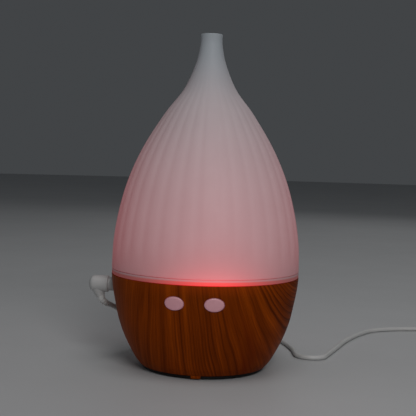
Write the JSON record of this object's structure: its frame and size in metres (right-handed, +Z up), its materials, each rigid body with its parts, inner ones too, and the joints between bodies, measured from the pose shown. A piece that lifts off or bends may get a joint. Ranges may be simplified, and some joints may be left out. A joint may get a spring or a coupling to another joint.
{
  "type": "cool mist humidifier",
  "caption": "Teardrop cool mist humidifier: fluted frosted cover with a slim nozzle, lit ring, wood-grain base with oval buttons, and a plug-in low-voltage lead.",
  "frame": {"origin": "centre of the footprint, on the surface the feet stand on", "axes": "+Z up; the buttons face -Y; the power inlet is on the -X side"},
  "size_m": [0.3345, 0.2743, 0.231],
  "materials": {
    "frosted_cover": "frosted translucent white, fluted, lit pink from below",
    "clear_frost": "translucent white, satin",
    "glow_ring": "translucent light guide, lit red",
    "wood_print": "printed wood grain, satin lacquer",
    "black_plastic": "fine moulded texture",
    "foot_rubber": "matte",
    "white_plastic": "moulded, semi-gloss",
    "lead_plastic": "flexible, semi-gloss",
    "button_plastic": "translucent, backlit",
    "bright_steel": "plated",
    "bearing_brass": "turned",
    "copper_winding": "enamelled copper wire",
    "heat_aluminium": "mill finish",
    "silicone": "soft translucent",
    "circuit_board": "solder mask",
    "red_wire": "insulation",
    "led_lens": "clear resin"
  },
  "bodies": {
    "housing": {"water_tank": "clear_frost", "light_ring": "glow_ring", "base_shell": "wood_print", "base_plate": "black_plastic", "led_board": "circuit_board", "transducer_seal": "silicone", "transducer_disc": "bright_steel", "transducer_clamp": "heat_aluminium", "water_probe": "bright_steel", "main_board": "circuit_board", "driver_coil": "copper_winding", "driver_capacitor": "black_plastic", "driver_transistor": "black_plastic", "heat_sink": "heat_aluminium", "control_chip": "black_plastic", "board_connector": "white_plastic", "fan_frame": "black_plastic", "fan_bearing": "bearing_brass", "fan_stator": "copper_winding", "air_duct": "white_plastic", "button_board": "circuit_board", "mist_switch": "black_plastic", "light_switch": "black_plastic", "dc_socket": "black_plastic", "transducer_wire": "white_plastic", "fan_wire": "red_wire", "dc_wire": "red_wire", "led_1": "led_lens", "base_screw_1": "bright_steel", "led_2": "led_lens", "base_screw_2": "bright_steel", "led_3": "led_lens", "base_screw_3": "bright_steel", "led_4": "led_lens", "base_screw_4": "bright_steel", "clamp_screw_1": "bright_steel", "clamp_screw_2": "bright_steel", "clamp_screw_3": "bright_steel", "board_screw_1": "bright_steel", "fan_screw_1": "bright_steel", "board_screw_2": "bright_steel", "fan_screw_2": "bright_steel", "foot_front_left": "foot_rubber", "foot_front_right": "foot_rubber", "foot_rear_left": "foot_rubber", "foot_rear_right": "foot_rubber"},
    "outer_cover": {"outer_cover": "frosted_cover"},
    "inner_cover": {"inner_cover": "clear_frost"},
    "mist_button": {"mist_button": "button_plastic"},
    "light_button": {"light_button": "button_plastic"},
    "fan_rotor": {"fan_rotor": "black_plastic"},
    "power_lead": {"dc_plug": "white_plastic", "plug_barrel": "bright_steel", "plug_strain_relief": "lead_plastic", "power_cord": "lead_plastic", "cord_coil": "lead_plastic", "cord_tie": "black_plastic", "power_adapter": "white_plastic", "adapter_blade_left": "bearing_brass", "adapter_blade_right": "bearing_brass"}
  },
  "joints": [
    {"name": "outer_cover_lift", "type": "slide", "parent": "inner_cover", "child": "outer_cover", "axis": [0, 0, 1], "range_m": [0, 0.12]},
    {"name": "inner_cover_lift", "type": "slide", "parent": "housing", "child": "inner_cover", "axis": [0, 0, 1], "range_m": [0, 0.04]},
    {"name": "mist_button_press", "type": "slide", "parent": "housing", "child": "mist_button", "axis": [0, 1, 0], "range_m": [0, 0.0008], "stiffness_N_per_m": 400},
    {"name": "light_button_press", "type": "slide", "parent": "housing", "child": "light_button", "axis": [0, 1, 0], "range_m": [0, 0.0008], "stiffness_N_per_m": 400},
    {"name": "fan_spin", "type": "hinge", "parent": "housing", "child": "fan_rotor", "pos_m": [0, 0.018, 0.012], "axis": [0, 0, 1], "continuous": true},
    {"name": "plug_pull", "type": "slide", "parent": "housing", "child": "power_lead", "axis": [-1, 0, 0], "range_m": [0, 0.012]}
  ]
}
